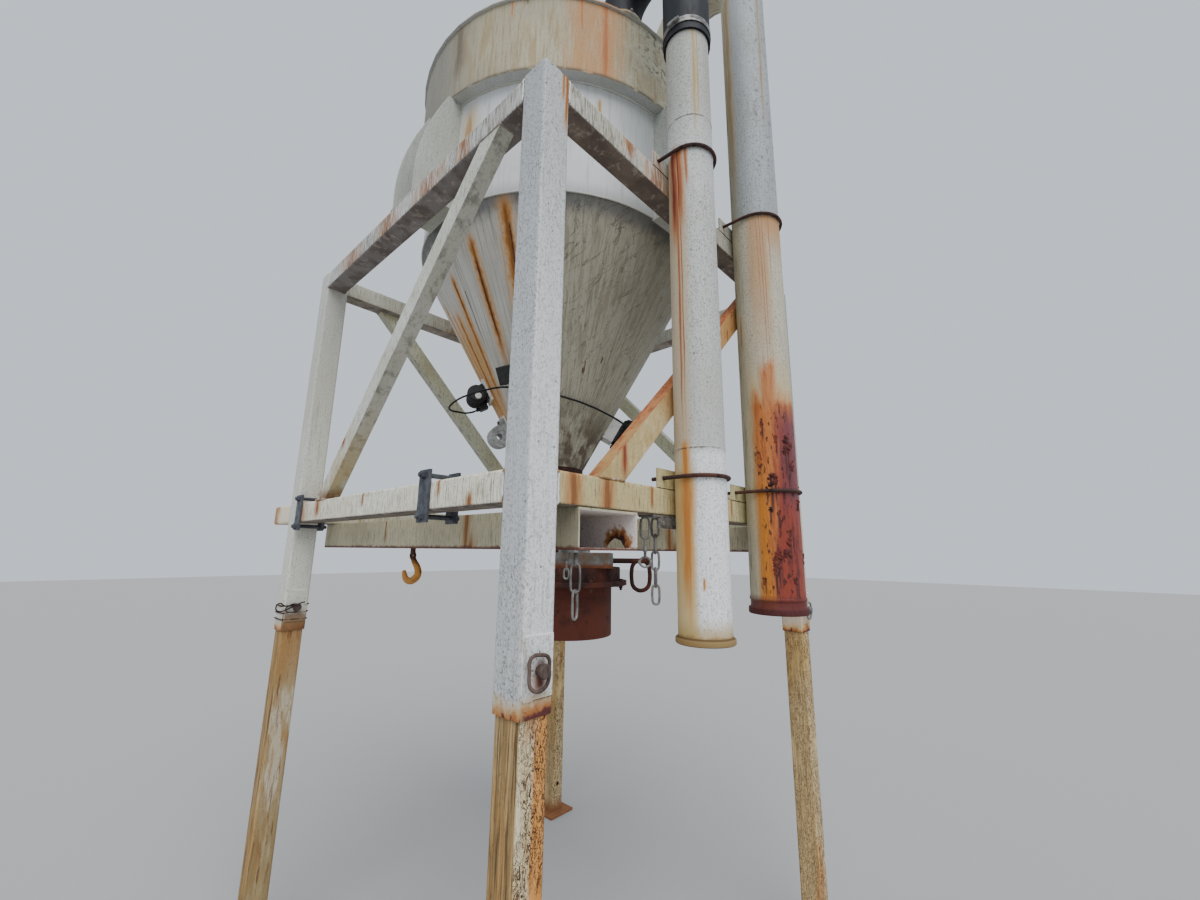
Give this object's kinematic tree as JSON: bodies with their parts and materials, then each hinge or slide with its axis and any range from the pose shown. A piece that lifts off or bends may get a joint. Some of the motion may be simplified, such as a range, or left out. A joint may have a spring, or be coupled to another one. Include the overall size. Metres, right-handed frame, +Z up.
{
  "type": "bulk bag silo",
  "caption": "Round steel silo with a cone and spout outlet on a telescopic square-tube frame with fork pockets, fed by two vertical pipes.",
  "frame": {"origin": "on the ground under the centre of the square frame", "axes": "+Z up; -Y is the front, where the two pipes stand; +X is right along the front"},
  "size_m": [1.68, 2.003, 4.2566],
  "materials": {
    "frame_paint": "weathered off-white paint with algae and rust streaks",
    "tank_paint": "weathered cream paint",
    "cone_paint": "grimy light grey paint",
    "pipe_paint": "weathered paint, rusted through in places",
    "rusty_steel": "heavy dark rust",
    "worn_leg": "flaking yellow paint over rust",
    "bare_steel": "dull, stained",
    "black_rubber": "matte",
    "black_fittings": "satin black, dusty",
    "zinc_steel": "dull zinc coating"
  },
  "bodies": {
    "root": {"leg_sleeve_front_left": "frame_paint", "leg_sleeve_front_right": "frame_paint", "leg_sleeve_back_left": "frame_paint", "leg_sleeve_back_right": "frame_paint", "inner_leg_front_left": "worn_leg", "inner_leg_front_right": "worn_leg", "inner_leg_back_left": "worn_leg", "inner_leg_back_right": "worn_leg", "leg_pin_front_left": "bare_steel", "leg_pin_front_right": "bare_steel", "leg_pin_back_left": "bare_steel", "leg_pin_back_right": "bare_steel", "top_beam_front": "frame_paint", "top_beam_right": "frame_paint", "top_beam_back": "frame_paint", "top_beam_left": "frame_paint", "ring_beam_front": "frame_paint", "ring_beam_right": "frame_paint", "ring_beam_back": "frame_paint", "ring_beam_left": "frame_paint", "brace_front": "frame_paint", "brace_right": "frame_paint", "brace_back": "frame_paint", "brace_left": "frame_paint", "fork_pocket_left": "frame_paint", "fork_pocket_right": "frame_paint", "tank_wall": "frame_paint", "tank_band": "tank_paint", "cone": "cone_paint", "roof": "tank_paint", "roof_hatch_lid": "tank_paint", "tank_bracket_front": "frame_paint", "tank_bracket_right": "frame_paint", "tank_bracket_back": "frame_paint", "tank_bracket_left": "frame_paint", "outlet_neck": "cone_paint", "gate_housing": "bare_steel", "outlet_collar": "rusty_steel", "outlet_spout": "rusty_steel", "pipe_a": "pipe_paint", "pipe_b": "pipe_paint", "pipe_a_hose": "black_rubber", "pipe_b_bend": "pipe_paint", "hose_clamp": "bare_steel", "u_bolt_a_upper": "bare_steel", "u_bolt_a_lower": "bare_steel", "u_bolt_b_upper": "bare_steel", "u_bolt_b_lower": "bare_steel", "gate_lever": "rusty_steel", "beam_clamp_front": "bare_steel", "beam_clamp_rear": "bare_steel", "bag_hook": "rusty_steel", "front_chains": "zinc_steel", "left_chains": "zinc_steel", "ball_vibrator": "zinc_steel", "vibrator_left": "black_fittings", "vibrator_right": "black_fittings", "level_box": "black_fittings", "vibrator_cable": "black_rubber"}
  },
  "joints": []
}
